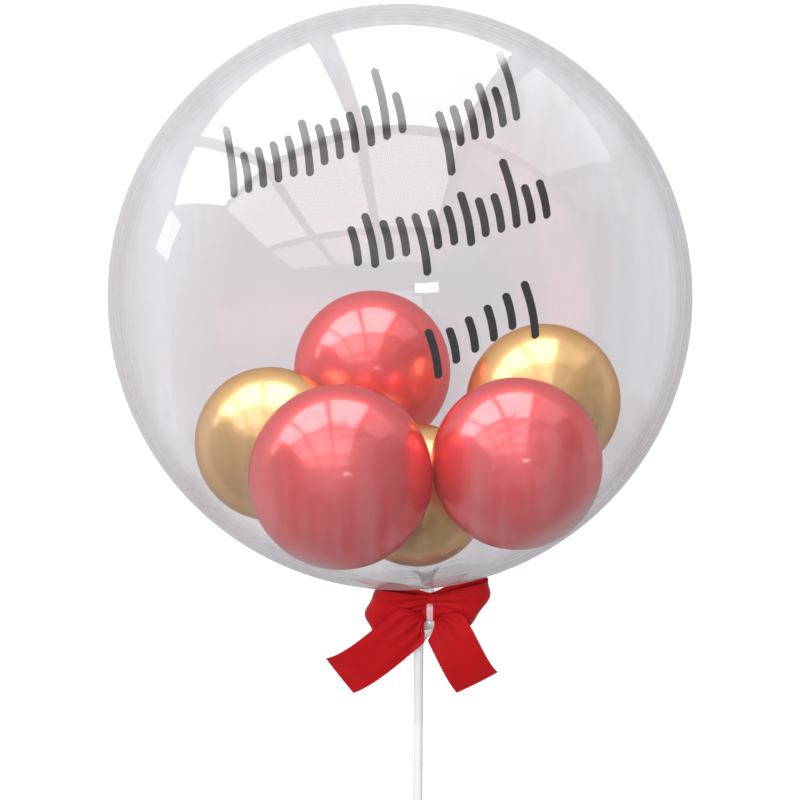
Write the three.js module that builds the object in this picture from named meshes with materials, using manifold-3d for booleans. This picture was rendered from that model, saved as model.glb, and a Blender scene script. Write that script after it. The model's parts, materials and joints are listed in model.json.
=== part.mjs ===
// Clear bubble balloon on a stick, lying on the floor: one big bubble of clear film with its gathered neck,
// a moulded cup whose stem takes the stick, a satin ribbon bow tied round the neck and a strip of clear tape
// over the bow's middle. The bubble is sealed, so it is one solid out to its film.
// The pieces are modelled standing, with +Z up the stick, the viewer's side at -Y and the middle of the
// bubble at the origin. One group then lays them down: the bubble on a small flat spot, the stick's end on
// the floor.
// Sizes are millimetres and angles are degrees.
import * as THREE from "three";
import { mergeVertices } from "three/addons/utils/BufferGeometryUtils.js";
import Module from "manifold-3d";

// Bubble
const BUBBLE_RADIUS = 225;
const REST_SPOT_RADIUS = 30;
const NECK_LENGTH = 37;
const NECK_RADIUS = 5;
const NECK_LEAN = 5.4;
const FUNNEL_RADIUS = 62;
const TAIL_RADIUS = 6.5;
const PLEATS = 12;
const PLEAT_SHARE = 0.34;
const PLEAT_DEPTH = 1.8;
const PLEAT_REACH = 95;
const NECK_BLEND = 6;

// Cup with its stem
const CUP_RADIUS = 18;
const CUP_WALL = 1.2;
const CUP_HALF_ANGLE = 35;
const CUP_DROP = 16;
const CUP_OFFSET = 9;
const CUP_SLOTS = 4;
const SLOT_WIDTH = 3;
const SLOT_DEPTH = 7;
const STEM_RADIUS = 4.1;
const STEM_LENGTH = 77;

// Stick
const STICK_RADIUS = 4;
const STICK_LENGTH = 330;
const SPIGOT_RADIUS = 2.6;
const SPIGOT_LENGTH = 15;
const STICK_CHAMFER = 0.5;

// Ribbon bow
const RIBBON_WIDTH = 38;
const RIBBON_THICKNESS = 0.8;
const PINCHED_WIDTH = 7;
const PINCHED_RISE = 13;
const COLLAR_THICKNESS = 1.4;
const COLLAR_HEIGHT = 12;
const KNOT_WIDTH = 11;
const KNOT_HEIGHT = 15;
const KNOT_DEPTH = 8;
const KNOT_CORNER = 3.2;
const KNOT_DROP = 3;
const LOOP_DEPTH = 24;
const LOOP_SPREAD = 36;
const LOOP_ROUND = 0.12;
const TAIL_SPREAD = 22;
const TAIL_CLEARANCE = 9.6;
const TAIL_ROLL_FROM = 0.35;
const LEFT_LOOP = { side: -1, reach: 54, tilt: 0, crestShare: 0.35 };
const RIGHT_LOOP = { side: 1, reach: 51, tilt: 9, crestShare: 0.8 };
const LEFT_TAIL = { side: -1, reach: 79, drop: 53, sagShare: 0.78, roll: 0, slant: 8 };
const RIGHT_TAIL = { side: 1, reach: 42, drop: 61, sagShare: 0.66, roll: 4, slant: 7 };

// Strip of clear tape over the knot
const TAPE_WIDTH = 5;
const TAPE_THICKNESS = 0.5;
const TAPE_TUCK = 3.8;

// Clearance between pieces that touch
const FIT_GAP = 0.3;

const radians = THREE.MathUtils.degToRad;
const { smoothstep, lerp } = THREE.MathUtils;
const wasm = await Module();
wasm.setup();

// Levels along the stick, and the line that the neck, bow and cup stand on
const waistZ = -(BUBBLE_RADIUS + NECK_LENGTH);
const waistX = -waistZ * Math.tan(radians(NECK_LEAN));
const stickX = waistX - CUP_OFFSET;
const cupSlope = Math.tan(radians(CUP_HALF_ANGLE));
const wallAcross = CUP_WALL / Math.cos(radians(CUP_HALF_ANGLE));
const rimZ = waistZ - CUP_DROP;
const coneFootZ = rimZ - (CUP_RADIUS - STEM_RADIUS) / cupSlope;
const cupFloorZ = coneFootZ + CUP_WALL;
const stemFootZ = coneFootZ - STEM_LENGTH;
const stickTopZ = stemFootZ - FIT_GAP;
const stickFootZ = stickTopZ - STICK_LENGTH;

// The bubble sinks by the height of its flat spot, and the stick's chamfered end meets the same floor
const restHeight = Math.sqrt(BUBBLE_RADIUS ** 2 - REST_SPOT_RADIUS ** 2);
const tipReach = -stickFootZ - STICK_CHAMFER;
const lyingTilt =
  Math.asin(restHeight / Math.hypot(tipReach, STICK_RADIUS)) - Math.atan2(STICK_RADIUS, tipReach);

const finish = (color, roughness, metalness = 0, opacity = 1) =>
  new THREE.MeshStandardMaterial({ color, roughness, metalness, opacity, transparent: opacity < 1 });
const clearFilm = finish("#e9eaee", 0.05, 0, 0.3);
const whitePlastic = finish("#ecebee", 0.4);
const redSatin = finish("#b01c22", 0.45);
const clearTape = finish("#e6dadf", 0.3, 0, 0.5);

function solidOf(geometry) {
  const bare = geometry.clone();
  bare.deleteAttribute("normal");
  bare.deleteAttribute("uv");
  const merged = mergeVertices(bare, 1e-3);
  return new wasm.Manifold(
    new wasm.Mesh({
      numProp: 3,
      vertProperties: merged.attributes.position.array,
      triVerts: new Uint32Array(merged.index.array),
    }),
  );
}

function geometryOf(solid) {
  const { vertProperties, triVerts } = solid.getMesh();
  const geometry = new THREE.BufferGeometry();
  geometry.setAttribute("position", new THREE.BufferAttribute(vertProperties, 3));
  geometry.setIndex(new THREE.BufferAttribute(triVerts, 1));
  return geometry;
}

function piece(name, geometry, material) {
  const mesh = new THREE.Mesh(geometry, material);
  mesh.name = name;
  return mesh;
}

// A body of revolution about Z. The profile runs from the axis at the top to the axis at the bottom.
function turned(profile, sides) {
  const points = profile.map(([radius, z]) => new THREE.Vector2(radius, z));
  return new THREE.LatheGeometry(points.reverse(), sides).rotateX(Math.PI / 2);
}

function eachVertex(geometry, move) {
  const at = geometry.getAttribute("position");
  const point = new THREE.Vector3();
  for (let i = 0; i < at.count; i++) {
    point.fromBufferAttribute(at, i);
    move(point);
    at.setXYZ(i, point.x, point.y, point.z);
  }
  return geometry;
}

// The film's outline from its crown to the end of its gathered tail, which is shaped to sit in the cup
function bubbleProfile() {
  const CROWN_STEPS = 30;
  const FUNNEL_STEPS = 9;
  const funnelAngle = Math.PI - Math.asin(FUNNEL_RADIUS / BUBBLE_RADIUS);
  const sphere = Array.from({ length: CROWN_STEPS + 1 }, (_, i) => {
    const angle = (funnelAngle * i) / CROWN_STEPS;
    return [BUBBLE_RADIUS * Math.sin(angle), BUBBLE_RADIUS * Math.cos(angle)];
  });
  const [startRadius, startZ] = sphere.at(-1);
  const poleZ = -BUBBLE_RADIUS;
  const funnel = new THREE.CubicBezierCurve(
    new THREE.Vector2(startRadius, startZ),
    new THREE.Vector2(startRadius * 0.45, lerp(startZ, poleZ, 0.78)),
    new THREE.Vector2(NECK_RADIUS, poleZ),
    new THREE.Vector2(NECK_RADIUS, poleZ - NECK_LENGTH * 0.5),
  );
  const neck = funnel.getPoints(FUNNEL_STEPS).slice(1).map(({ x, y }) => [x, y]);
  const tailEndZ = cupFloorZ + FIT_GAP;
  const seatRadius = (z) =>
    STEM_RADIUS + (z - coneFootZ) * cupSlope - wallAcross - FIT_GAP / Math.cos(radians(CUP_HALF_ANGLE));
  const tailEndRadius = seatRadius(tailEndZ);
  const seatTopZ = tailEndZ + (TAIL_RADIUS - tailEndRadius) / cupSlope;
  const waist = [[NECK_RADIUS, waistZ + COLLAR_HEIGHT / 2], [NECK_RADIUS, waistZ - COLLAR_HEIGHT / 2]];
  return [...sphere, ...neck, ...waist, [TAIL_RADIUS, seatTopZ], [tailEndRadius, tailEndZ], [0, tailEndZ]];
}

// Gathers the film into pleats that deepen towards the neck, then leans the bubble over on its neck
function gatherAndLean(point) {
  const radius = Math.hypot(point.x, point.y);
  const fromPole = Math.hypot(radius, point.z + BUBBLE_RADIUS);
  const below = smoothstep(-point.z, 0, BUBBLE_RADIUS);
  const fold = (1 - Math.cos(PLEATS * Math.atan2(point.y, point.x))) / 2;
  const nearNeck = below * (1 - smoothstep(fromPole, 0, PLEAT_REACH));
  const onNeck = smoothstep(-point.z, BUBBLE_RADIUS - NECK_BLEND / 2, BUBBLE_RADIUS + NECK_LENGTH * 0.4);
  const cupShare = smoothstep(-point.z, -waistZ + COLLAR_HEIGHT / 2, -rimZ);
  const depth = lerp(PLEAT_DEPTH * nearNeck, radius * PLEAT_SHARE, onNeck) * (1 - cupShare);
  const kept = radius > 0 ? Math.max(radius - Math.min(depth * fold, radius * PLEAT_SHARE), 0) / radius : 1;
  point.x *= kept;
  point.y *= kept;
  const lean = radians(NECK_LEAN);
  const level = Math.max(point.z, waistZ);
  const leanedX = point.x * Math.cos(lean) - level * Math.sin(lean);
  const leanedZ = point.x * Math.sin(lean) + level * Math.cos(lean);
  const tailX = point.x + lerp(waistX, stickX, cupShare);
  const collarTop = -waistZ - COLLAR_HEIGHT / 2;
  const inTail = smoothstep(-point.z, collarTop - NECK_BLEND, collarTop);
  point.set(lerp(leanedX, tailX, inTail), point.y, lerp(leanedZ, point.z, inTail));
}

// Turns the standing pieces over onto their back, so that the viewer's side looks up
function layDown(group) {
  group.rotation.x = lyingTilt - Math.PI / 2;
  group.position.z = restHeight;
  group.updateMatrixWorld(true);
  return group;
}

function bubble(lyingMatrix) {
  const SIDES = 60;
  const film = solidOf(eachVertex(turned(bubbleProfile(), SIDES), gatherAndLean));
  const block = new THREE.BoxGeometry(BUBBLE_RADIUS, BUBBLE_RADIUS, BUBBLE_RADIUS);
  block.translate(0, 0, -BUBBLE_RADIUS / 2).applyMatrix4(lyingMatrix.clone().invert());
  return piece("bubble", geometryOf(film.subtract(solidOf(block))), clearFilm);
}

// A slotted dish on a stem, moulded in one, with a blind socket in the stem's foot for the stick's spigot
function cup() {
  const SIDES = 32;
  const floorRadius = STEM_RADIUS + CUP_WALL * cupSlope - wallAcross;
  const socketRadius = SPIGOT_RADIUS + FIT_GAP;
  const socketTopZ = stemFootZ + SPIGOT_LENGTH + FIT_GAP;
  const dish = turned(
    [
      [0, cupFloorZ], [floorRadius, cupFloorZ], [CUP_RADIUS - wallAcross, rimZ], [CUP_RADIUS, rimZ],
      [STEM_RADIUS, coneFootZ], [STEM_RADIUS, stemFootZ], [socketRadius, stemFootZ],
      [socketRadius, socketTopZ], [0, socketTopZ],
    ],
    SIDES,
  );
  let body = solidOf(dish);
  for (let i = 0; i < CUP_SLOTS; i++) {
    const slot = new THREE.BoxGeometry(CUP_RADIUS, SLOT_WIDTH, SLOT_DEPTH * 2);
    slot.translate(CUP_RADIUS, 0, rimZ).rotateZ(((i + 0.5) * 2 * Math.PI) / CUP_SLOTS);
    body = body.subtract(solidOf(slot));
  }
  const mesh = piece("cup_with_stem", geometryOf(body), whitePlastic);
  mesh.position.x = stickX;
  return mesh;
}

function stick() {
  const SIDES = 24;
  const spigotTopZ = stickTopZ + SPIGOT_LENGTH;
  const rod = turned(
    [
      [0, spigotTopZ], [SPIGOT_RADIUS - STICK_CHAMFER, spigotTopZ],
      [SPIGOT_RADIUS, spigotTopZ - STICK_CHAMFER], [SPIGOT_RADIUS, stickTopZ], [STICK_RADIUS, stickTopZ],
      [STICK_RADIUS, stickFootZ + STICK_CHAMFER], [STICK_RADIUS - STICK_CHAMFER, stickFootZ],
      [0, stickFootZ],
    ],
    SIDES,
  );
  const mesh = piece("stick", rod, whitePlastic);
  mesh.position.x = stickX;
  return mesh;
}

// A closed band of even thickness whose middle surface is place(along, across), both from 0 to 1
function band(place, rows, columns) {
  const STEP = 1e-3;
  const sides = [[], []];
  for (let i = 0; i <= rows; i++) {
    for (let j = 0; j <= columns; j++) {
      const [u, v] = [i / rows, j / columns];
      const along = place(Math.min(u + STEP, 1), v).sub(place(Math.max(u - STEP, 0), v));
      const across = place(u, Math.min(v + STEP, 1)).sub(place(u, Math.max(v - STEP, 0)));
      const normal = along.cross(across).normalize().multiplyScalar(RIBBON_THICKNESS / 2);
      sides[0].push(place(u, v).add(normal));
      sides[1].push(place(u, v).sub(normal));
    }
  }
  const perSide = sides[0].length;
  const at = (i, j, side) => i * (columns + 1) + j + side * perSide;
  const faces = [];
  const quad = (a, b, c, d) => faces.push(a, b, c, a, c, d);
  for (let i = 0; i < rows; i++) {
    for (let j = 0; j < columns; j++) {
      quad(at(i, j, 0), at(i + 1, j, 0), at(i + 1, j + 1, 0), at(i, j + 1, 0));
      quad(at(i, j, 1), at(i, j + 1, 1), at(i + 1, j + 1, 1), at(i + 1, j, 1));
    }
    quad(at(i, 0, 0), at(i, 0, 1), at(i + 1, 0, 1), at(i + 1, 0, 0));
    quad(at(i, columns, 0), at(i + 1, columns, 0), at(i + 1, columns, 1), at(i, columns, 1));
  }
  for (let j = 0; j < columns; j++) {
    quad(at(0, j, 0), at(0, j + 1, 0), at(0, j + 1, 1), at(0, j, 1));
    quad(at(rows, j, 0), at(rows, j, 1), at(rows, j + 1, 1), at(rows, j + 1, 0));
  }
  return new THREE.BufferGeometry().setFromPoints(sides.flat()).setIndex(faces);
}

// Where the knot begins in front of the neck, towards -Y
const knotBack = NECK_RADIUS + FIT_GAP + COLLAR_THICKNESS * 0.5;

// How wide the ribbon is at a distance from the middle of the knot: pinched inside it, then spreading
const widthAt = (distance, spread) =>
  lerp(PINCHED_WIDTH, RIBBON_WIDTH, smoothstep(distance, KNOT_WIDTH * 0.72, spread));

// One loop: the ribbon leaves the back of the knot, turns round at its far end and comes back to the front.
// It fans out above the knot at once, and its far end is rounded about the crest.
function loop({ side, reach, tilt, crestShare }) {
  const ROWS = 26;
  const COLUMNS = 6;
  const lift = Math.tan(radians(tilt));
  const place = (along, across) => {
    const angle = 2 * Math.PI * lerp(0.02, 0.98, along);
    const fullOut = reach * (1 - LOOP_ROUND * (2 * (across - crestShare)) ** 2);
    const out = (fullOut * (1 - Math.cos(angle))) / 2;
    const bulge = -(LOOP_DEPTH / 2) * Math.sin(angle) * Math.sin(angle / 2) ** 1.2;
    const forward = knotBack + bulge + KNOT_DEPTH * (0.2 - 0.1 * Math.cos(angle / 2));
    const above = lerp(PINCHED_RISE, RIBBON_WIDTH / 2, smoothstep(out, 0, LOOP_SPREAD));
    const height = lerp(-widthAt(out, LOOP_SPREAD) / 2, above, across);
    return new THREE.Vector3(side * out, -forward, height + out * lift);
  };
  return band(place, ROWS, COLUMNS);
}

// One tail: it leaves the knot, comes forward past the cup's rim and hangs out and down to its end, which is
// cut on a slant. Its face looks to the viewer and rolls a little about its length.
function tail({ side, reach, drop, sagShare, roll, slant }) {
  const ROWS = 16;
  const COLUMNS = 4;
  const start = knotBack + KNOT_DEPTH * 0.35;
  const front = CUP_RADIUS + RIBBON_THICKNESS + TAIL_CLEARANCE;
  const at = (out, forward, down) => new THREE.Vector3(side * out, -forward, -down);
  const line = new THREE.CubicBezierCurve3(
    at(0, start, KNOT_DROP),
    at(KNOT_WIDTH * 1.5, front, KNOT_DROP),
    at(reach * 0.62, front + TAIL_CLEARANCE, drop * sagShare),
    at(reach, front, drop),
  );
  const length = line.getLength();
  const place = (along, across) => {
    const towardsCup = side < 0 ? across : 1 - across;
    const share = along * (1 - (slant / length) * towardsCup);
    const tangent = line.getTangentAt(share);
    const turn = -side * radians(roll) * smoothstep(share, TAIL_ROLL_FROM, 1);
    const face = new THREE.Vector3(0, -1, 0).applyAxisAngle(tangent, turn);
    const sideways = new THREE.Vector3().crossVectors(face, tangent).normalize();
    const half = (across - 0.5) * widthAt(share * length, TAIL_SPREAD);
    return line.getPointAt(share).addScaledVector(sideways, half);
  };
  return band(place, ROWS, COLUMNS);
}

// The knot's section from top to front to bottom, as a C that stands off by grow and runs back to depth
function knotSection(grow, back) {
  const STEPS = 4;
  const top = KNOT_HEIGHT / 2 - KNOT_CORNER;
  const front = knotBack + KNOT_DEPTH - KNOT_CORNER;
  const corner = (centreZ, from) =>
    Array.from({ length: STEPS + 1 }, (_, i) => {
      const angle = from - (Math.PI / 2) * (i / STEPS);
      const radius = KNOT_CORNER + grow;
      return [front + radius * Math.cos(angle), centreZ + radius * Math.sin(angle)];
    });
  return [
    [back, KNOT_HEIGHT / 2 + grow], ...corner(top, Math.PI / 2),
    ...corner(-top, 0), [back, -KNOT_HEIGHT / 2 - grow],
  ];
}

// Extrudes a section drawn in depth and height to a width across X, about the middle of the knot
function acrossKnot(section, width) {
  const shape = new THREE.Shape(section.map(([forward, z]) => new THREE.Vector2(forward, z)));
  const body = new THREE.ExtrudeGeometry(shape, { depth: width, bevelEnabled: false });
  body.translate(0, 0, -width / 2).rotateY(Math.PI / 2).rotateX(Math.PI / 2).rotateZ(Math.PI);
  return body.translate(0, 0, -KNOT_DROP);
}

// A ring round the neck, the knot in front of it, two loops and two tails, all of one ribbon
function bow() {
  const collarInner = NECK_RADIUS + FIT_GAP;
  const collarOuter = collarInner + COLLAR_THICKNESS;
  const half = COLLAR_HEIGHT / 2;
  const ring = [[collarInner, half], [collarOuter, half], [collarOuter, -half], [collarInner, -half]];
  const collar = turned([...ring, ring[0]], 24);
  const knot = acrossKnot(knotSection(0, knotBack), KNOT_WIDTH);
  const parts = [collar, knot, loop(LEFT_LOOP), loop(RIGHT_LOOP), tail(LEFT_TAIL), tail(RIGHT_TAIL)];
  const whole = parts.map(solidOf).reduce((joined, part) => joined.add(part));
  const mesh = piece("ribbon_bow", geometryOf(whole), redSatin);
  mesh.position.set(waistX, 0, waistZ);
  return mesh;
}

function tape() {
  const back = knotBack + KNOT_DEPTH - TAPE_TUCK;
  const inner = knotSection(FIT_GAP, back);
  const outer = knotSection(FIT_GAP + TAPE_THICKNESS, back);
  const mesh = piece("bow_tape", acrossKnot([...outer, ...inner.reverse()], TAPE_WIDTH), clearTape);
  mesh.position.set(waistX, 0, waistZ);
  return mesh;
}

const balloon = layDown(new THREE.Group());
balloon.add(bubble(balloon.matrixWorld), cup(), stick(), bow(), tape());
const lying = new THREE.Group();
lying.add(balloon);

export default lying;
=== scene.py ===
# Clear bubble balloon on a stick, lying on a pale floor: small metallic balloons sealed in a bubble of thin
# film, vinyl strokes on its front, a moulded cup and stick, and a satin bow with a strip of clear tape.
import json
import math

import bpy
from mathutils import Matrix, Vector


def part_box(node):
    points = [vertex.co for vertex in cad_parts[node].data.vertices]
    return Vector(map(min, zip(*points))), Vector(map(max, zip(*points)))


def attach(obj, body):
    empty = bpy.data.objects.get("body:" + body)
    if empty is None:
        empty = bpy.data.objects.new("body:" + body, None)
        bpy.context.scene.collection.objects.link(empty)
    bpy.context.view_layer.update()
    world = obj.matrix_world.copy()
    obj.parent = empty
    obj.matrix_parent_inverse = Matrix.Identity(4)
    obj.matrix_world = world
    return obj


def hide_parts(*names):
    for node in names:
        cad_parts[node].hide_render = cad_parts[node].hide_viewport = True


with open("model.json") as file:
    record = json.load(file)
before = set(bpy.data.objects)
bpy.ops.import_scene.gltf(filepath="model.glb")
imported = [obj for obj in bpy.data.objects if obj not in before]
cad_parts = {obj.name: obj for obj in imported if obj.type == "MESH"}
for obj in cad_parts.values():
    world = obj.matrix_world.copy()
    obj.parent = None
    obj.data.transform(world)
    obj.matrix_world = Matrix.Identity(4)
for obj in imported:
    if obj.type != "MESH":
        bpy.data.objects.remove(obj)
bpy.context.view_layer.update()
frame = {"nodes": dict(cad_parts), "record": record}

# The small balloons sealed inside: thin metallic latex blown up to about 13 cm and drawn in towards a tied
# knot with a rolled lip. Three are rose and three are gold, and they lie against the film and each other.
MM = 0.001
SMALL_BALLOONS = (
    ("rose_balloon_left", "rose", (-44, 105.5, -107.5), 67.8, (0, -0.5, -0.87)),
    ("rose_balloon_right", "rose", (88.5, 84, -106), 64.2, (0, -0.5, -0.87)),
    ("rose_balloon_back", "rose", (-24.5, -119, -93), 69, (0, 0.1, -1)),
    ("gold_balloon_right", "gold", (119, -41, -96.5), 63.8, (-0.3, -0.2, -0.93)),
    ("gold_balloon_left", "gold", (-105, -10, -122.5), 62, (0.4, -0.3, -0.87)),
    ("gold_balloon_low", "gold", (13.5, 1, -163), 58.5, (0.1, -0.95, -0.3)),
)
FILM_THICKNESS = 0.2 * MM
BALLOON_GAP = 0.6 * MM
REST_SPOT_RADIUS = 30 * MM

# A small balloon's form, as shares of its radius
BALLOON_LENGTH = 1.025
DRAWN_FROM = 0.55
DRAWN_DOWN = 0.05
DRAWN_IN = 0.05
PINCHED_IN = 0.03
THROAT = {"radius1": 0.026, "radius2": 0.075, "depth": 0.1, "location": (0, 0, -1.1)}
TIED_RING = {"major_radius": 0.03, "minor_radius": 0.022, "location": (0, 0, -1.135)}
ROLLED_LIP = {"major_radius": 0.05, "minor_radius": 0.011, "location": (0, 0, -1.195)}
SKIRT = {"radius1": 0.052, "radius2": 0.02, "depth": 0.055, "location": (0, 0, -1.168)}

# Each piece is made standing, with +Z up the stick, the viewer's side at -Y and the middle of the bubble at
# the origin. It is then laid on its back as the solids lie, by the tilt of the stick's end.
stick_end = next(m for m in frame["record"]["mounts"] if m["name"] == "stick_end")
lying_tilt = math.asin(-stick_end["axis"][2])
bubble_low, bubble_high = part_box("bubble")
bubble_radius = round((bubble_high.x - bubble_low.x) / 2, 3)
rest_height = math.sqrt(bubble_radius ** 2 - REST_SPOT_RADIUS ** 2)
lying = Matrix.Translation((0, 0, rest_height)) @ Matrix.Rotation(lying_tilt - math.pi / 2, 4, "X")


def lay_down(piece):
    piece.data.transform(lying)
    piece.data.update()


def added(primitive, **sizes):
    bpy.ops.object.select_all(action="DESELECT")
    primitive(**sizes)
    return bpy.context.object


def joined(parts, name):
    bpy.ops.object.select_all(action="DESELECT")
    for part in parts:
        part.select_set(True)
    bpy.context.view_layer.objects.active = parts[0]
    bpy.ops.object.join()
    parts[0].name = name
    return parts[0]


def small_balloon():
    body = added(bpy.ops.mesh.primitive_uv_sphere_add, segments=80, ring_count=52, radius=1)
    for v in body.data.vertices:
        near = max(0, (-v.co.z - DRAWN_FROM) / (1 - DRAWN_FROM))
        v.co.z = v.co.z * BALLOON_LENGTH - DRAWN_DOWN * near ** 2.2
        v.co.xy *= 1 - DRAWN_IN * near ** 1.5 - PINCHED_IN * near ** 6
    throat = added(bpy.ops.mesh.primitive_cone_add, vertices=32, **THROAT)
    ring = added(bpy.ops.mesh.primitive_torus_add, major_segments=32, minor_segments=14, **TIED_RING)
    lip = added(bpy.ops.mesh.primitive_torus_add, major_segments=40, minor_segments=14, **ROLLED_LIP)
    skirt = added(bpy.ops.mesh.primitive_cone_add, vertices=32, **SKIRT)
    balloon = joined((body, throat, ring, lip, skirt), "balloon_model")
    bpy.ops.object.shade_smooth()
    return balloon


# Shader maths: a socket with the operators that are used, and one method that adds any other node. The method
# takes an input by its name, or as i and its number where names repeat.
class Socket:
    def __init__(self, tree, socket):
        self.tree = tree
        self.socket = socket

    def node(self, kind, settings=(), **inputs):
        made = self.tree.nodes.new(kind)
        for key, value in dict(settings).items():
            setattr(made, key, value)
        for key, value in inputs.items():
            number = key[1:]
            target = made.inputs[int(number) if number.isdigit() else key.replace("_", " ")]
            if isinstance(value, Socket):
                self.tree.links.new(value.socket, target)
            else:
                target.default_value = value
        return made

    def out(self, made, name=0):
        return Socket(self.tree, made.outputs[name])

    def math(self, operation, *values):
        inputs = {f"i{i}": value for i, value in enumerate(values)}
        return self.out(self.node("ShaderNodeMath", {"operation": operation}, **inputs))

    def __add__(self, other):
        return self.math("ADD", self, other)

    def __sub__(self, other):
        return self.math("SUBTRACT", self, other)

    def __rsub__(self, other):
        return self.math("SUBTRACT", other, self)

    def __mul__(self, other):
        return self.math("MULTIPLY", self, other)

    def __pow__(self, other):
        return self.math("POWER", self, other)

    __radd__ = __add__
    __rmul__ = __mul__

    def blend(self, first, second):
        made = self.node("ShaderNodeMix", {"data_type": "RGBA"}, i0=self, i6=first, i7=second)
        return self.out(made, 2)


def new_material(name):
    material = bpy.data.materials.new(name)
    material.use_nodes = True
    material.node_tree.nodes.clear()
    return material, Socket(material.node_tree, None)


def finish_material(material, shader):
    shader.node("ShaderNodeOutputMaterial", Surface=shader)
    return material


def paint(piece, material):
    piece.data.materials.clear()
    piece.data.materials.append(material)


def metallic_latex(name, deep, bright, edge, metallic):
    material, maths = new_material(name)
    place = maths.out(maths.node("ShaderNodeTexCoord"), "Object")
    cloud = maths.out(maths.node("ShaderNodeTexNoise", Vector=place, Scale=9.0, Detail=2.0, Roughness=0.5))
    pearl = maths.out(maths.node("ShaderNodeTexNoise", Vector=place, Scale=900.0, Detail=1.0, Roughness=0.5))
    facing = maths.out(maths.node("ShaderNodeLayerWeight", Blend=0.5), "Facing")
    body = (cloud * 1.1 + pearl * 0.04 - 0.07).blend(deep, bright)
    # Painted shade: towards the outline, by the view angle, the base colour turns to the deeper, darker edge
    # colour
    painted_rim_shade = facing ** 2.0 * 0.5
    bump = maths.node("ShaderNodeBump", Strength=0.01, Distance=0.0002, Height=pearl)
    latex = maths.node(
        "ShaderNodeBsdfPrincipled", Base_Color=painted_rim_shade.blend(body, edge), Metallic=metallic,
        Roughness=pearl * 0.03 + 0.27, Specular_IOR_Level=0.15, Specular_Tint=edge,
        Coat_Weight=1.0 - facing, Coat_Roughness=0.12, Coat_IOR=1.85, Normal=maths.out(bump),
    )
    return finish_material(material, maths.out(latex))


# Each edge colour is both the latex's gloss tint and the painted shade along its outline
latex_by_colour = {
    "rose": metallic_latex(
        "rose_latex", deep=(0.86, 0.075, 0.06, 1), bright=(0.97, 0.17, 0.20, 1),
        edge=(0.76, 0.07, 0.04, 1), metallic=0.5,
    ),
    "gold": metallic_latex(
        "gold_latex", deep=(0.74, 0.39, 0.11, 1), bright=(1.0, 0.68, 0.27, 1),
        edge=(0.60, 0.30, 0.08, 1), metallic=0.7,
    ),
}
balloon_model = small_balloon()
for name, colour, (right, front, up), radius, (knot_right, knot_front, knot_up) in SMALL_BALLOONS:
    balloon = balloon_model.copy()
    balloon.data = balloon_model.data.copy()
    balloon.name = name
    bpy.context.scene.collection.objects.link(balloon)
    centre = Vector((right, -front, up)) * MM
    reach = bubble_radius - FILM_THICKNESS - BALLOON_GAP - radius * MM
    centre = centre.normalized() * min(centre.length, reach)
    knot_towards = Vector((knot_right, -knot_front, knot_up))
    turn = knot_towards.to_track_quat("-Z", "Y").to_matrix().to_4x4()
    balloon.data.transform(Matrix.Translation(centre) @ turn @ Matrix.Scale(radius * MM, 4))
    lay_down(balloon)
    paint(balloon, latex_by_colour[colour])
    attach(balloon, "root")
bpy.data.objects.remove(balloon_model)


# The bubble: one piece of thin clear film, heat-formed into a sphere, gathered into pleats at its neck, tied,
# and flattened over a small spot where it lies. It has a real thin wall, smooth, with a grey band of painted
# shade at the rim.
KNOT_DROP = 3 * MM
NECK_RADIUS = 5 * MM
NECK_LEAN = math.radians(5.4)
FUNNEL_RADIUS = 62 * MM
FUNNEL_STEPS = 26
TIE_STEPS = 4
COLLAR_HEIGHT = 12 * MM
TAIL_RADIUS = 6.2 * MM
TAIL_STEPS = 6
TAIL_FULL_DROP = 8 * MM
TAIL_END_RADIUS = 3.2 * MM
TAIL_END_DROP = 18 * MM
PLEATS = 12
PLEAT_REACH = 95 * MM
PLEAT_DEPTH = 1.8 * MM
PLEAT_SHARE = 0.34
FINE_FOLD_SHARE = 0.15


def standing_box(node):
    corners = [lying.inverted() @ v.co for v in frame["nodes"][node].data.vertices]
    low = Vector(min(c[i] for c in corners) for i in range(3))
    high = Vector(max(c[i] for c in corners) for i in range(3))
    return low, high


tape_low, tape_high = standing_box("bow_tape")
stem_low, stem_high = standing_box("cup_with_stem")
stick_low, stick_high = standing_box("stick")
waist_x = (tape_low.x + tape_high.x) / 2
waist_z = (tape_low.z + tape_high.z) / 2 + KNOT_DROP
stick_x = (stick_low.x + stick_high.x) / 2
cup_rim_z = stem_high.z
neck_length = -waist_z - bubble_radius


def smoothstep(value, low, high):
    t = min(max((value - low) / (high - low), 0), 1)
    return t * t * (3 - 2 * t)


def mix(a, b, share):
    return a + (b - a) * share


def bezier(points, t):
    a, b, c, d = points
    return a * (1 - t) ** 3 + b * 3 * t * (1 - t) ** 2 + c * 3 * t * t * (1 - t) + d * t ** 3


def only(piece):
    bpy.ops.object.select_all(action="DESELECT")
    piece.select_set(True)
    bpy.context.view_layer.objects.active = piece


def applied(piece, kind, **settings):
    modifier = piece.modifiers.new(kind.lower(), kind)
    for key, value in settings.items():
        setattr(modifier, key, value)
    only(piece)
    bpy.ops.object.modifier_apply(modifier=modifier.name)


def extrude_ring_to(radius, z, last_radius, last_z):
    bpy.ops.mesh.extrude_region_move(TRANSFORM_OT_translate={"value": (0, 0, z - last_z)})
    share = radius / last_radius
    bpy.ops.transform.resize(value=(share, share, 1), center_override=(0, 0, z))
    return radius, z


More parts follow.
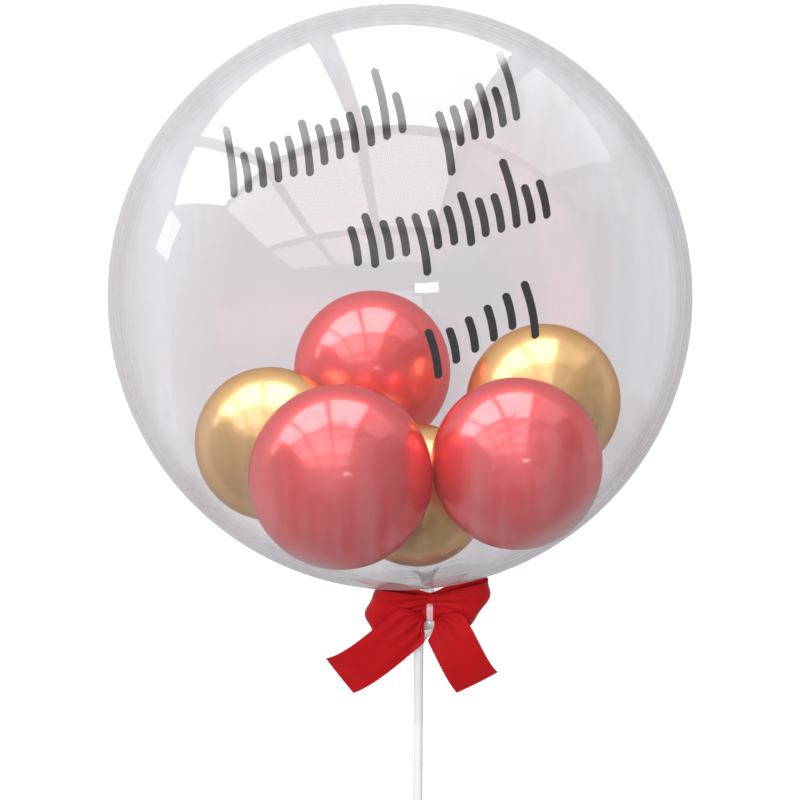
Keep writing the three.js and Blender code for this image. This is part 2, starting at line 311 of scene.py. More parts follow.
def neck_rings(start):
    pole_z = -bubble_radius
    neck_end = pole_z - neck_length / 2
    funnel = (
        start, Vector((start.x * 0.45, mix(start.y, pole_z, 0.78))),
        Vector((NECK_RADIUS, pole_z)), Vector((NECK_RADIUS, neck_end)),
    )
    waist_top = waist_z + COLLAR_HEIGHT / 2
    waist_low = waist_z - COLLAR_HEIGHT / 2
    tail_full = cup_rim_z - TAIL_FULL_DROP
    rings = [bezier(funnel, (i + 1) / FUNNEL_STEPS) for i in range(FUNNEL_STEPS)]
    for i in range(TIE_STEPS):
        rings.append(Vector((NECK_RADIUS, mix(neck_end, waist_top, (i + 1) / TIE_STEPS))))
    rings.append(Vector((NECK_RADIUS, waist_low)))
    for i in range(1, TAIL_STEPS + 1):
        radius = mix(NECK_RADIUS, TAIL_RADIUS, smoothstep(i, 0, TAIL_STEPS))
        rings.append(Vector((radius, mix(waist_low, tail_full, i / TAIL_STEPS))))
    rings.append(Vector((TAIL_END_RADIUS, cup_rim_z - TAIL_END_DROP)))
    return rings


def bubble_film():
    film = added(bpy.ops.mesh.primitive_uv_sphere_add, segments=180, ring_count=110, radius=bubble_radius)
    film.name = "bubble_film"
    funnel_z = -math.sqrt(bubble_radius ** 2 - FUNNEL_RADIUS ** 2)
    bpy.ops.object.mode_set(mode="EDIT")
    bpy.ops.mesh.select_all(action="SELECT")
    bpy.ops.mesh.bisect(plane_co=(0, 0, funnel_z), plane_no=(0, 0, 1), clear_inner=True)
    bpy.ops.mesh.select_all(action="DESELECT")
    bpy.ops.mesh.select_non_manifold()
    bpy.ops.object.mode_set(mode="OBJECT")
    edge = next(v.co for v in film.data.vertices if v.select)
    start = Vector((edge.xy.length, edge.z))
    bpy.ops.object.mode_set(mode="EDIT")
    last = (start.x, start.y)
    for ring in neck_rings(start):
        last = extrude_ring_to(ring.x, ring.y, *last)
    bpy.ops.mesh.edge_face_add()
    bpy.ops.mesh.select_all(action="SELECT")
    bpy.ops.mesh.normals_make_consistent(inside=False)
    bpy.ops.object.mode_set(mode="OBJECT")
    return film


def gather_and_lean(co):
    radius = co.xy.length
    down = -co.z
    angle = math.atan2(co.y, co.x)
    from_pole = math.hypot(radius, down - bubble_radius)
    fold = (1 - math.cos(PLEATS * angle)) / 2
    fine = (1 - math.cos(3 * PLEATS * angle + 1.7 * math.sin(5 * angle))) / 2
    folded = mix(fold, fine, FINE_FOLD_SHARE)
    near = smoothstep(down, 0, bubble_radius) * (1 - smoothstep(from_pole, 0, PLEAT_REACH))
    on_neck = smoothstep(down, bubble_radius - 3 * MM, bubble_radius + neck_length * 0.4)
    cup_share = smoothstep(down, -waist_z + COLLAR_HEIGHT / 2, -cup_rim_z)
    depth = mix(PLEAT_DEPTH * near, radius * PLEAT_SHARE, on_neck) * (1 - cup_share * 0.5)
    cut = min(depth * folded, radius * PLEAT_SHARE)
    kept = (radius - cut) / radius if radius > 1e-6 else 1
    x, y = co.x * kept, co.y * kept
    level = max(co.z, waist_z)
    leaned_x = x * math.cos(NECK_LEAN) - level * math.sin(NECK_LEAN)
    leaned_z = x * math.sin(NECK_LEAN) + level * math.cos(NECK_LEAN)
    tail_x = x + mix(waist_x, stick_x, cup_share)
    collar_top = -waist_z - COLLAR_HEIGHT / 2
    in_tail = smoothstep(down, collar_top - 6 * MM, collar_top)
    return Vector((mix(leaned_x, tail_x, in_tail), y, mix(leaned_z, co.z, in_tail)))


def clear_film():
    material, maths = new_material("clear_film")
    smooth = {"interpolation_type": "SMOOTHSTEP"}
    place = maths.out(maths.node("ShaderNodeTexCoord"), "Object")
    facing = maths.out(maths.node("ShaderNodeLayerWeight", Blend=0.5), "Facing")

    # The clear sheet with its gloss, which is stronger towards the rim
    ripple = maths.out(maths.node("ShaderNodeTexNoise", Vector=place, Scale=7.0, Detail=0.0))
    bump = maths.out(maths.node("ShaderNodeBump", Strength=0.08, Distance=0.002, Height=ripple))
    reflected = facing ** 5.0 * 0.45 + 0.038
    clear = maths.node("ShaderNodeBsdfTransparent", Color=(0.900, 0.896, 0.903, 1))
    gloss = maths.node(
        "ShaderNodeBsdfPrincipled", Base_Color=(0.80, 0.79, 0.81, 1), Metallic=1.0, Roughness=0.02,
        Normal=bump,
    )
    sheet = maths.node("ShaderNodeMixShader", i0=reflected, i1=maths.out(clear), i2=maths.out(gloss))

    # The gathered film at the neck is milky
    down_stick = lying.to_3x3() @ Vector((0, 0, -1))
    from_middle = maths.node(
        "ShaderNodeVectorMath", {"operation": "SUBTRACT"}, i0=place, i1=(0, 0, rest_height)
    )
    depth = maths.node(
        "ShaderNodeVectorMath", {"operation": "DOT_PRODUCT"}, i0=maths.out(from_middle), i1=down_stick
    )
    gathered = maths.out(
        maths.node(
            "ShaderNodeMapRange", smooth, Value=maths.out(depth, "Value"), i1=bubble_radius, i2=-waist_z
        )
    )
    # The grey haze also carries the painted shade at the rim and the painted reflections on the sides
    haze_and_painted_shade = maths.node(
        "ShaderNodeBsdfPrincipled", Base_Color=gathered.blend((0.50, 0.495, 0.51, 1), (0.86, 0.86, 0.87, 1)),
        Roughness=0.6, Specular_IOR_Level=0.1,
    )

    # Painted reflection: faint grey streaks that run towards the neck on the bubble's sides, standing in for
    # reflected boards. Painted shade: fine grey rings close to the rim
    along_stick = maths.node(
        "ShaderNodeMapping", Vector=place, Rotation=(lying_tilt, 0, 0), Scale=(34, 1.2, 5)
    )
    board_reflection_noise = maths.node(
        "ShaderNodeTexNoise", Vector=maths.out(along_stick), Scale=1.0, Detail=2.0, Roughness=0.65
    )
    sides = maths.out(maths.node("ShaderNodeMapRange", smooth, Value=facing, i1=0.04, i2=0.5))
    painted_board_streaks = sides * maths.math("MAXIMUM", maths.out(board_reflection_noise) - 0.42, 0.0) * 0.35
    painted_rim_shade = maths.out(maths.node("ShaderNodeMapRange", smooth, Value=facing, i1=0.60, i2=0.72))
    rings = maths.node(
        "ShaderNodeTexNoise", {"noise_dimensions": "1D"}, W=facing * 34.0, Scale=1.0, Detail=2.0,
        Roughness=0.6,
    )
    painted_rim_rings = painted_rim_shade * (maths.out(rings) * 0.20 - 0.02)
    # The grey towards the rim is partly the film's own haze and partly painted shade; the gathered neck is
    # really milky
    milky_and_painted_shade = facing ** 6.0 * 0.22 + painted_rim_rings + painted_board_streaks + gathered * 0.8 + 0.006
    film = maths.node("ShaderNodeMixShader", i0=milky_and_painted_shade, i1=maths.out(sheet), i2=maths.out(haze_and_painted_shade))
    return finish_material(material, maths.out(film))


film = bubble_film()
for v in film.data.vertices:
    v.co = gather_and_lean(v.co)
lay_down(film)
for v in film.data.vertices:
    v.co.z = max(v.co.z, 0)
applied(film, "SOLIDIFY", thickness=FILM_THICKNESS, offset=-1)
bpy.ops.object.shade_smooth()
paint(film, clear_film())
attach(film, "root")
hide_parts("bubble")


# The vinyl strokes: thin glossy black film, cut to rounded strokes and stuck on the front of the bubble in
# four slanting rows. They are only plain strokes of uneven height.
STROKE_WIDTH = 5.2 * MM
STROKE_THICKNESS = 0.25 * MM
STROKE_LIFT = 0.1 * MM
STROKE_CURVE = 0.04
STROKE_LEAN = math.radians(13)
STROKE_ROWS = (
    {"start": (-108, 110), "end": (2, 152), "strokes": "LsssslssssLs"},
    {"start": (30, 141), "end": (77, 157), "strokes": "dsslsL"},
    {"start": (-26, 75), "end": (95, 99), "strokes": "slssdsslssLss"},
    {"start": (24, 8), "end": (84, 40), "strokes": "lssssd"},
)
STROKES = {"s": (0, 24), "l": (-3, 30), "L": (0, 42), "d": (-14, 24)}
stroke_along = Vector((-math.sin(STROKE_LEAN), math.cos(STROKE_LEAN)))
stroke_side = Vector((stroke_along.y, -stroke_along.x))


def vinyl_stroke(foot, height):
    stroke = added(bpy.ops.mesh.primitive_grid_add, x_subdivisions=8, y_subdivisions=40, size=2)
    half = STROKE_WIDTH / 2
    radius = bubble_radius + STROKE_LIFT
    for v in stroke.data.vertices:
        across, share = v.co.x, (v.co.y + 1) / 2
        distance = share * height
        end = min(distance, height - distance)
        width = half * math.sqrt(max(0, 1 - max(0, 1 - end / half) ** 2))
        curve = STROKE_CURVE * math.sin(math.pi * share) * height
        aside = across * max(width, half * 0.05) + curve
        x, z = foot + stroke_along * distance + stroke_side * aside
        v.co = Vector((x, -math.sqrt(radius ** 2 - x * x - z * z), z))
    return stroke


def black_vinyl():
    material, maths = new_material("black_vinyl")
    place = maths.out(maths.node("ShaderNodeTexCoord"), "Object")
    grain = maths.out(maths.node("ShaderNodeTexNoise", Vector=place, Scale=120.0, Detail=2.0, Roughness=0.5))
    colour = grain.blend((0.018, 0.018, 0.020, 1), (0.034, 0.033, 0.036, 1))
    bump = maths.out(maths.node("ShaderNodeBump", Strength=0.08, Distance=0.0003, Height=grain))
    vinyl = maths.node(
        "ShaderNodeBsdfPrincipled", Base_Color=colour, Roughness=grain * 0.1 + 0.08, Normal=bump
    )
    return finish_material(material, maths.out(vinyl))


vinyl = black_vinyl()
for row_number, row in enumerate(STROKE_ROWS, 1):
    first, last = Vector(row["start"]) * MM, Vector(row["end"]) * MM
    spacing = (last - first) / (len(row["strokes"]) - 1)
    strokes = []
    for i, kind in enumerate(row["strokes"]):
        low, high = STROKES[kind]
        foot = first + spacing * i + stroke_along * low * MM
        strokes.append(vinyl_stroke(foot, (high - low) * MM))
    line = joined(strokes, f"vinyl_strokes_{row_number}")
    applied(line, "SOLIDIFY", thickness=STROKE_THICKNESS, offset=0)
    bpy.ops.object.shade_smooth_by_angle(angle=math.radians(40))
    lay_down(line)
    paint(line, vinyl)
    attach(line, "root")


# The cup and its stem: white plastic moulded in one piece. The slotted dish grips the balloon's tail, and the
# stem's foot has a socket for the stick. The stick is a plain extruded rod with a spigot pushed into it.
CUP_RADIUS = (stem_high.y - stem_low.y) / 2
CUP_WALL = 1.2 * MM
CUP_HALF_ANGLE = math.radians(35)
CUP_EDGE = 0.25 * MM
STEM_RADIUS = 4.1 * MM
CUP_SLOTS = 4
SLOT_WIDTH = 3 * MM
SLOT_DEPTH = 7 * MM
SPIGOT_RADIUS = 2.6 * MM
FIT_GAP = 0.3 * MM
STICK_RADIUS = (stick_high.x - stick_low.x) / 2
STICK_CHAMFER = 0.5 * MM


def turned_piece(name, profile, steps):
    piece = added(bpy.ops.mesh.primitive_plane_add, size=1)
    piece.name = name
    bpy.ops.object.mode_set(mode="EDIT")
    bpy.ops.mesh.merge(type="CENTER")
    radius, z = profile[0]
    bpy.ops.transform.translate(value=(radius, 0, z))
    for next_radius, next_z in profile[1:]:
        step = (next_radius - radius, 0, next_z - z)
        bpy.ops.mesh.extrude_region_move(TRANSFORM_OT_translate={"value": step})
        radius, z = next_radius, next_z
    bpy.ops.mesh.select_all(action="SELECT")
    bpy.ops.mesh.spin(steps=steps, angle=2 * math.pi, center=(0, 0, 0), axis=(0, 0, 1))
    bpy.ops.mesh.select_all(action="SELECT")
    bpy.ops.mesh.remove_doubles(threshold=1e-6)
    bpy.ops.mesh.normals_make_consistent(inside=False)
    bpy.ops.object.mode_set(mode="OBJECT")
    return piece


def white_plastic():
    material, maths = new_material("white_plastic")
    place = maths.out(maths.node("ShaderNodeTexCoord"), "Object")
    cloud = maths.out(maths.node("ShaderNodeTexNoise", Vector=place, Scale=40.0, Detail=3.0, Roughness=0.6))
    scuff = maths.out(maths.node("ShaderNodeTexNoise", Vector=place, Scale=700.0, Detail=2.0, Roughness=0.6))
    colour = cloud.blend((0.52, 0.52, 0.53, 1), (0.58, 0.58, 0.59, 1))
    bump = maths.out(maths.node("ShaderNodeBump", Strength=0.1, Distance=0.0001, Height=scuff))
    plastic = maths.node(
        "ShaderNodeBsdfPrincipled", Base_Color=colour, Roughness=scuff * 0.2 + 0.25, Normal=bump
    )
    return finish_material(material, maths.out(plastic))


plastic = white_plastic()
slope = math.tan(CUP_HALF_ANGLE)
wall_across = CUP_WALL / math.cos(CUP_HALF_ANGLE)
cone_foot_z = cup_rim_z - (CUP_RADIUS - STEM_RADIUS) / slope
cup_floor_z = cone_foot_z + CUP_WALL
floor_radius = STEM_RADIUS + CUP_WALL * slope - wall_across
socket_radius = SPIGOT_RADIUS + FIT_GAP
socket_top_z = stick_high.z + FIT_GAP
cup_profile = (
    (0, cup_floor_z), (floor_radius, cup_floor_z), (CUP_RADIUS - wall_across, cup_rim_z),
    (CUP_RADIUS, cup_rim_z), (STEM_RADIUS, cone_foot_z), (STEM_RADIUS, stem_low.z),
    (socket_radius, stem_low.z), (socket_radius, socket_top_z), (0, socket_top_z),
)
cup = turned_piece("plastic_cup", cup_profile, 64)
for i in range(CUP_SLOTS):
    turn = (i + 0.5) * 2 * math.pi / CUP_SLOTS
    cutter = added(
        bpy.ops.mesh.primitive_cube_add, size=1, scale=(CUP_RADIUS, SLOT_WIDTH, 2 * SLOT_DEPTH),
        rotation=(0, 0, turn), location=(CUP_RADIUS * math.cos(turn), CUP_RADIUS * math.sin(turn), cup_rim_z),
    )
    applied(cup, "BOOLEAN", operation="DIFFERENCE", object=cutter)
    bpy.data.objects.remove(cutter)
applied(cup, "BEVEL", width=CUP_EDGE, segments=2, limit_method="ANGLE", angle_limit=math.radians(40))

shoulder_z = stem_low.z - FIT_GAP
stick_profile = (
    (0, stick_high.z), (SPIGOT_RADIUS - STICK_CHAMFER, stick_high.z),
    (SPIGOT_RADIUS, stick_high.z - STICK_CHAMFER), (SPIGOT_RADIUS, shoulder_z),
    (STICK_RADIUS - FIT_GAP, shoulder_z), (STICK_RADIUS, shoulder_z - FIT_GAP),
    (STICK_RADIUS, stick_low.z + STICK_CHAMFER), (STICK_RADIUS - STICK_CHAMFER, stick_low.z),
    (0, stick_low.z),
)
stick = turned_piece("stick_rod", stick_profile, 48)
for piece, node in ((cup, "cup_with_stem"), (stick, "stick")):
    piece.data.transform(Matrix.Translation((stick_x, 0, 0)))
    lay_down(piece)
    only(piece)
    bpy.ops.object.shade_smooth_by_angle(angle=math.radians(35))
    paint(piece, plastic)
    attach(piece, "root")
    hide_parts(node)


# The bow: one length of 38 mm satin ribbon, wrapped round the neck, tied into two loops and two tails and
# pinched into folds at the knot. Satin is smooth, with a soft sheen along its threads and woven edges.
RIBBON_WIDTH = 38 * MM
RIBBON_THICKNESS = 0.35 * MM
PINCHED_WIDTH = 8 * MM
PINCHED_RISE = 13 * MM
FOLD_DEPTH = 1.9 * MM
COLLAR_THICKNESS = 1.4 * MM
KNOT_WIDTH = 11 * MM
KNOT_HEIGHT = 15 * MM
KNOT_DEPTH = 8 * MM
KNOT_BAND_LENGTH = 45 * MM
LOOP_DEPTH = 24 * MM
LOOP_SPREAD = 36 * MM
LOOP_ROUND = 0.12
LOOP_RIPPLE = 1.3 * MM
LOOP_LAP = 1 * MM
TAIL_SPREAD = 22 * MM
TAIL_CLEARANCE = 9.6 * MM
TAIL_ROLL_FROM = 0.35
TAIL_CURL = 1.5 * MM
TAIL_SAMPLES = 200
LOOPS = (
    {"side": -1, "reach": 54 * MM, "tilt": 0, "crest": 0.35},
    {"side": 1, "reach": 51 * MM, "tilt": math.radians(9), "crest": 0.8},
)
TAILS = (
    {"side": -1, "reach": 79 * MM, "drop": 53 * MM, "sag": 0.78, "roll": 0, "slant": 8 * MM},
    {"side": 1, "reach": 42 * MM, "drop": 61 * MM, "sag": 0.66, "roll": math.radians(4), "slant": 7 * MM},
)
full_turn = 2 * math.pi
knot_back = NECK_RADIUS + FIT_GAP + COLLAR_THICKNESS / 2


def width_at(distance, spread):
    return mix(PINCHED_WIDTH, RIBBON_WIDTH, smoothstep(distance, KNOT_WIDTH * 0.72, spread))


def ribbon_strip(place, rows, columns, length):
    strip = added(bpy.ops.mesh.primitive_grid_add, x_subdivisions=columns, y_subdivisions=rows, size=2)
    flat = [((v.co.x + 1) / 2, (v.co.y + 1) / 2) for v in strip.data.vertices]
    weave = strip.data.uv_layers[0]
    for corner in strip.data.loops:
        across, along = flat[corner.vertex_index]
        weave.data[corner.index].uv = (across * RIBBON_WIDTH, along * length)
    for v, (across, along) in zip(strip.data.vertices, flat):
        v.co = place(along, across)
    return strip


def fold_at(across, distance, phase, spread):
    closeness = 1 - smoothstep(distance, 0, spread)
    narrow = math.cos(across * full_turn * 3.5 + phase)
    wide = math.cos(across * full_turn * 1.5 + phase * 2)
    return FOLD_DEPTH * closeness * (narrow * 0.7 + wide * 0.5)


def bow_loop(side, reach, tilt, crest):
    lift = math.tan(tilt)

    def place(along, across):
        angle = full_turn * mix(0.02, 0.98, along)
        far = math.sin(angle / 2)
        ripple = LOOP_RIPPLE * far ** 6 * math.sin(across * full_turn * 1.6 + 2 * side)
        full_out = reach * (1 - LOOP_ROUND * (2 * (across - crest)) ** 2) + ripple
        out = full_out * (1 - math.cos(angle)) / 2
        bulge = -(LOOP_DEPTH / 2) * math.sin(angle) * far ** 1.2
        phase = 1.1 * side + (2.0 if along > 0.5 else 0.3)
        fold = fold_at(across, out, phase, reach * 0.9) * far ** 0.7
        forward = knot_back + bulge + KNOT_DEPTH * (0.2 - 0.1 * math.cos(angle / 2)) + fold
        above = mix(PINCHED_RISE, RIBBON_WIDTH / 2, smoothstep(out, 0, LOOP_SPREAD))
        height = mix(-width_at(out, LOOP_SPREAD) / 2, above, across)
        return Vector((side * (out - LOOP_LAP), -forward - side * LOOP_LAP / 2, height + out * lift))

    return ribbon_strip(place, 110, 32, 2.2 * reach)


def bow_tail(side, reach, drop, sag, roll, slant):
    start = knot_back + KNOT_DEPTH * 0.35
    front = CUP_RADIUS + RIBBON_THICKNESS + TAIL_CLEARANCE
    line = (
        Vector((0, -start, -KNOT_DROP)),
        Vector((side * KNOT_WIDTH * 1.5, -front, -KNOT_DROP)),
        Vector((side * reach * 0.62, -front - TAIL_CLEARANCE, -drop * sag)),
        Vector((side * reach, -front, -drop)),
    )
    points = [bezier(line, i / TAIL_SAMPLES) for i in range(TAIL_SAMPLES + 1)]
    lengths = [0]
    for a, b in zip(points, points[1:]):
        lengths.append(lengths[-1] + (b - a).length)

    def at_length(distance):
        for i in range(1, TAIL_SAMPLES + 1):
            if lengths[i] >= distance or i == TAIL_SAMPLES:
                share = (distance - lengths[i - 1]) / (lengths[i] - lengths[i - 1])
                return points[i - 1].lerp(points[i], share), (points[i] - points[i - 1]).normalized()

    def place(along, across):
        towards_cup = 0.5 - side * (across - 0.5)
        distance = along * (lengths[-1] - slant * towards_cup)
        spot, tangent = at_length(distance)
        turn = Matrix.Rotation(-side * roll * smoothstep(along, TAIL_ROLL_FROM, 1), 3, tangent)
        face = turn @ Vector((0, -1, 0))
        sideways = face.cross(tangent).normalized()
        half = (across - 0.5) * width_at(distance, TAIL_SPREAD)
        fold = fold_at(across, distance, 0.8 * side, lengths[-1] * 0.6)
        curl = TAIL_CURL * math.sin(along * 5 + side) * (2 * across - 1) ** 2
        return spot + sideways * half + sideways.cross(tangent) * (fold * smoothstep(along, 0, 0.12) + curl)

    return ribbon_strip(place, 90, 28, lengths[-1])


def knot_band():
    def place(along, across):
        angle = mix(-0.5, 0.5, along) * math.pi * 1.3
        ahead, rise = math.cos(angle), math.sin(angle)
        rounded = max(ahead, -0.1) if ahead < 0 else ahead ** 0.45
        forward = knot_back + (KNOT_DEPTH + 0.2 * MM) * rounded
        height = KNOT_HEIGHT / 2 * math.copysign(abs(rise) ** 0.8, rise)
        crease = 0.35 * MM * math.cos(across * full_turn * 3)
        return Vector(((across - 0.5) * KNOT_WIDTH, -forward + crease * ahead, height - KNOT_DROP))

    return ribbon_strip(place, 48, 24, KNOT_BAND_LENGTH)


def neck_wrap():
    def place(along, across):
        angle = along * full_turn
        out = knot_back + 0.3 * MM * math.cos(across * full_turn * 3 + math.sin(angle))
        return Vector((out * math.sin(angle), out * math.cos(angle), (across - 0.5) * COLLAR_HEIGHT))

    return ribbon_strip(place, 72, 16, full_turn * knot_back)


def thread_bands(maths, weave, direction, scale, distortion):
    bands = maths.node(
        "ShaderNodeTexWave", {"wave_type": "BANDS", "bands_direction": direction}, Vector=weave,
        Scale=scale, Distortion=distortion, Detail=1.0, Detail_Scale=1.0,
    )
    return maths.out(bands, "Fac")


def red_satin():
    material, maths = new_material("red_satin")
    weave = maths.out(maths.node("ShaderNodeUVMap", {"uv_map": "UVMap"}))
    threads = thread_bands(maths, weave, "X", 800.0, 0.6)
    picks = thread_bands(maths, weave, "Y", 420.0, 0.4)
    cloud = maths.out(maths.node("ShaderNodeTexNoise", Vector=weave, Scale=60.0, Detail=3.0, Roughness=0.55))
    across = maths.out(maths.node("ShaderNodeSeparateXYZ", Vector=weave), "X") * (1 / RIBBON_WIDTH)
    from_middle = maths.math("ABSOLUTE", across * 2.0 - 1.0)
    hem = maths.math("GREATER_THAN", from_middle, 0.955)
    cloth = (cloud * 0.7 + threads * 0.3).blend((0.20, 0.003, 0.005, 1), (0.35, 0.006, 0.008, 1))
    colour = (hem * 0.6).blend(cloth, (0.26, 0.006, 0.012, 1))
    relief = threads * 0.5 + picks * 0.3 + hem * 0.8
    bump = maths.out(maths.node("ShaderNodeBump", Strength=0.25, Distance=0.00012, Height=relief))
    satin = maths.node(
        "ShaderNodeBsdfPrincipled", Base_Color=colour, Roughness=picks * 0.1 + cloud * 0.1 + 0.36,
        Specular_IOR_Level=0.18, Sheen_Weight=0.03, Sheen_Roughness=0.3, Sheen_Tint=(1.0, 0.3, 0.25, 1),
        Normal=bump,
    )
    return finish_material(material, maths.out(satin))


strips = [bow_loop(**loop) for loop in LOOPS] + [bow_tail(**tail) for tail in TAILS]
bow = joined(strips + [knot_band(), neck_wrap()], "satin_bow")
applied(bow, "SOLIDIFY", thickness=RIBBON_THICKNESS, offset=0)
bpy.ops.object.shade_smooth_by_angle(angle=math.radians(50))
bow.data.transform(Matrix.Translation((waist_x, 0, waist_z)))
lay_down(bow)
paint(bow, red_satin())
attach(bow, "root")
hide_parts("ribbon_bow")


# The strip of clear tape pressed over the knot, which keeps the bow in place. It is see-through and slightly
# milky, with a few creases from the satin under it.
TAPE_WIDTH = tape_high.x - tape_low.x
TAPE_THICKNESS = 0.15 * MM
TAPE_LIFT = 0.75 * MM
TAPE_OVERHANG = 0.4 * MM
TAPE_CREASE = 0.2 * MM


def on_knot(along, across):
    angle = mix(-0.5, 0.5, along) * math.pi * 0.92
    forward = knot_back + (KNOT_DEPTH + TAPE_LIFT) * math.cos(angle) ** 0.45
    height = (KNOT_HEIGHT / 2 + TAPE_OVERHANG) * math.copysign(abs(math.sin(angle)) ** 0.8, angle)
    crease = TAPE_CREASE * math.sin(across * 19 + along * 4)
    return Vector(((across - 0.5) * TAPE_WIDTH, -forward + crease, height - KNOT_DROP))


def clear_tape():
    material, maths = new_material("clear_tape")
    place = maths.out(maths.node("ShaderNodeTexCoord"), "Object")
    facing = maths.out(maths.node("ShaderNodeLayerWeight", Blend=0.5), "Facing")
    streak = maths.out(maths.node("ShaderNodeTexNoise", Vector=place, Scale=260.0, Detail=3.0, Roughness=0.7))
    bump = maths.out(maths.node("ShaderNodeBump", Strength=0.3, Distance=0.0003, Height=streak))
    clear = maths.node("ShaderNodeBsdfTransparent", Color=(0.97, 0.95, 0.96, 1))
    milk = maths.node(
        "ShaderNodeBsdfPrincipled", Base_Color=(0.80, 0.66, 0.70, 1), Roughness=0.22, Normal=bump
    )
    share = streak * 0.35 + facing ** 4.0 * 0.5 + 0.12
    tape = maths.node("ShaderNodeMixShader", i0=share, i1=maths.out(clear), i2=maths.out(milk))
    return finish_material(material, maths.out(tape))


tape = ribbon_strip(on_knot, 40, 16, KNOT_HEIGHT)
tape.name = "clear_tape_strip"
applied(tape, "SOLIDIFY", thickness=TAPE_THICKNESS, offset=0)
bpy.ops.object.shade_smooth_by_angle(angle=math.radians(50))
tape.data.transform(Matrix.Translation((waist_x, 0, waist_z)))
lay_down(tape)
paint(tape, clear_tape())
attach(tape, "root")
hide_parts("bow_tape")


# The floor: one plain pale sheet under the balloon. It is lit from below, so that it stays white behind the
# film, and is dimmer further off. Reflections leave it out and show the room instead.
FLOOR_SIZE = 24
LIT_TO = 0.6
DIM_FROM = 2.6


def pale_floor():
    material, maths = new_material("pale_floor")
    place = maths.out(maths.node("ShaderNodeTexCoord"), "Object")
    cloud = maths.out(maths.node("ShaderNodeTexNoise", Vector=place, Scale=1.5, Detail=2.0, Roughness=0.5))
    sheet_colour = cloud.blend((0.19, 0.19, 0.195, 1), (0.21, 0.21, 0.215, 1))
    distance = maths.out(maths.node("ShaderNodeVectorMath", {"operation": "LENGTH"}, i0=place), "Value")
    far = maths.node(
        "ShaderNodeMapRange", {"interpolation_type": "SMOOTHSTEP"}, Value=distance, i1=LIT_TO, i2=DIM_FROM
    )
    glow = maths.out(far).blend((0.86, 0.86, 0.865, 1), (0.30, 0.30, 0.31, 1))
    lit_sheet = maths.node(
        "ShaderNodeBsdfPrincipled", Base_Color=sheet_colour, Roughness=0.7, Emission_Color=glow,
        Emission_Strength=1.0,
    )
    return finish_material(material, maths.out(lit_sheet))


floor = added(bpy.ops.mesh.primitive_plane_add, size=FLOOR_SIZE)
floor.name = "floor"
paint(floor, pale_floor())
floor.visible_glossy = False


# The light: a plain pale room that is brighter below, in the floor's place, a tall grid of soft panels on the
# side of the bubble's crown, two small ones apart, and a soft sun. The panels show only as reflections.
PANEL_COLUMNS = (
    {"x": -1.30, "width": 0.72, "share": 1.0},
    {"x": -0.55, "width": 0.60, "share": 1.0},
    {"x": 0.07, "width": 0.50, "share": 0.95},
    {"x": 0.74, "width": 0.66, "share": 0.2},
    {"x": 1.55, "width": 0.60, "share": 0.05},
)
PANEL_ROWS = (
    {"front": -0.065, "rise": 0.81, "depth": 0.80, "tilt": math.radians(-28), "radiance": 6.8},
    {"front": 0.80, "rise": 1.0, "depth": 0.88, "tilt": 0, "radiance": 2.6},
    {"front": 1.65, "rise": 1.0, "depth": 0.60, "tilt": 0, "radiance": 1.6},
)
SMALL_PANELS = (
    ("side_panel", (-0.955, -0.15, 0.24), 1.5, (0.24, 0.26), 3.5),
    ("far_panel", (0.158, 0.934, 0.314), 2.5, (0.36, 0.15), 7.0),
)
SUN_STRENGTH = 4.8
SUN_WIDTH = math.radians(22)
SUN_TURN = (math.radians(-5), math.radians(-8), 0)


def reflected_panel(name, width, height, radiance, place):
    data = bpy.data.lights.new(name, "AREA")
    data.shape = "RECTANGLE"
    data.size = width
    data.size_y = height
    data.energy = radiance * math.pi * width * height
    panel = bpy.data.objects.new(name, data)
    bpy.context.scene.collection.objects.link(panel)
    panel.matrix_world = lying @ place
    panel.visible_camera = False
    panel.visible_diffuse = False


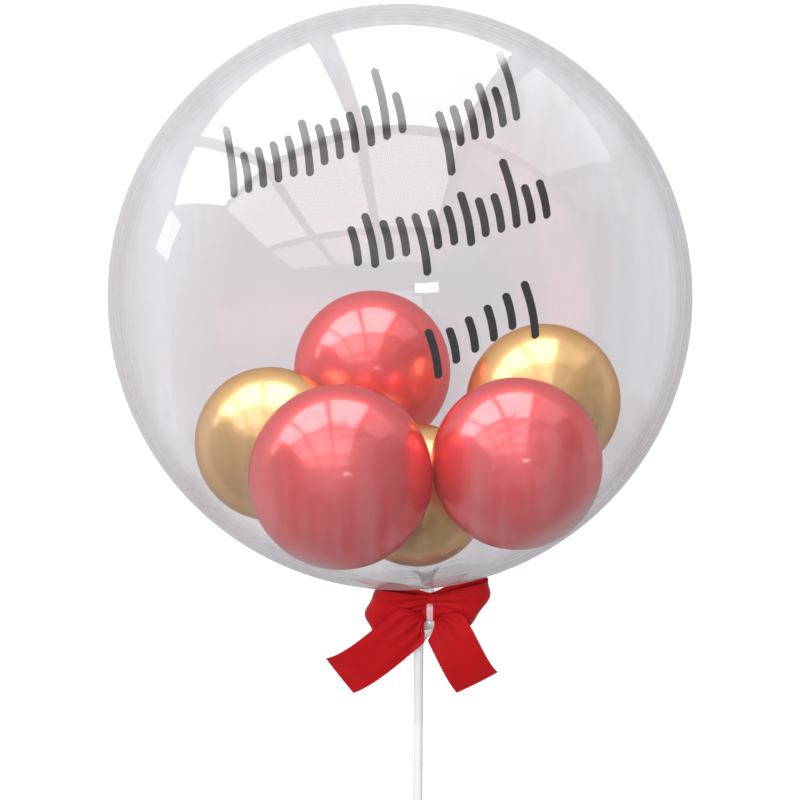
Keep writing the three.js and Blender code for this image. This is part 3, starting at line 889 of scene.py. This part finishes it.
world = bpy.data.worlds.new("pale_room")
bpy.context.scene.world = world
world.use_nodes = True
sky = Socket(world.node_tree, None)
direction = sky.out(sky.node("ShaderNodeTexCoord"), "Generated")
towards = sky.node("ShaderNodeSeparateXYZ", Vector=direction)
sideways, ahead, upwards = (sky.out(towards, axis) for axis in "XYZ")
walls = sky.math("MINIMUM", ahead * 0.3 + 0.42, 0.44) - sideways * 0.18
below = sky.out(sky.node("ShaderNodeMapRange", Value=upwards, i1=-0.1, i2=-0.3))
level = sky.math("MAXIMUM", walls, 0.16) + below * (ahead * 0.35 + 0.6)
room = world.node_tree.nodes["Background"]
world.node_tree.links.new(level.socket, room.inputs["Strength"])
room.inputs["Color"].default_value = (0.97, 0.97, 0.99, 1)

for column_number, column in enumerate(PANEL_COLUMNS):
    for row_number, row in enumerate(PANEL_ROWS):
        place = Matrix.Translation((column["x"], -row["front"], row["rise"]))
        reflected_panel(
            f"panel_{column_number}_{row_number}", column["width"], row["depth"],
            column["share"] * row["radiance"], place @ Matrix.Rotation(row["tilt"], 4, "X"),
        )
for name, (right, front, up), distance, (width, height), radiance in SMALL_PANELS:
    outwards = Vector((right, -front, up))
    facing_in = outwards.to_track_quat("Z", "Y").to_matrix().to_4x4()
    place = Matrix.Translation(outwards * distance) @ facing_in
    reflected_panel(name, width, height, radiance, place)

sun_data = bpy.data.lights.new("soft_sun", "SUN")
sun_data.energy = SUN_STRENGTH
sun_data.angle = SUN_WIDTH
sun = bpy.data.objects.new("soft_sun", sun_data)
bpy.context.scene.collection.objects.link(sun)
sun.rotation_euler = SUN_TURN
sun.visible_glossy = False


# The camera: it looks at the front of the lying bubble from 14 degrees towards its crown, as the photograph
# does, with the bubble's middle at the same height in the picture.
PHOTO_SIZE = 800
BUBBLE_CENTRE_ROW = 301
LENS_PIXELS = 1430.6
SENSOR_WIDTH = 36
SEEN_TO = 100
CAMERA_DISTANCE = 5 * bubble_radius
CAMERA_RISE = math.radians(14)
camera_data = bpy.data.cameras.new("camera")
camera_data.sensor_width = SENSOR_WIDTH
camera_data.lens = SENSOR_WIDTH * LENS_PIXELS / PHOTO_SIZE
camera_data.clip_end = SEEN_TO
camera = bpy.data.objects.new("camera", camera_data)
bpy.context.scene.collection.objects.link(camera)
aim_drop = math.atan2(PHOTO_SIZE / 2 - BUBBLE_CENTRE_ROW, LENS_PIXELS)
away = Matrix.Rotation(-CAMERA_RISE, 4, "X") @ Matrix.Translation((0, -CAMERA_DISTANCE, 0))
aim = Matrix.Rotation(math.pi / 2 - aim_drop, 4, "X")
camera.matrix_world = lying @ away @ aim
bpy.context.scene.camera = camera
bpy.context.scene.view_settings.view_transform = "Standard"
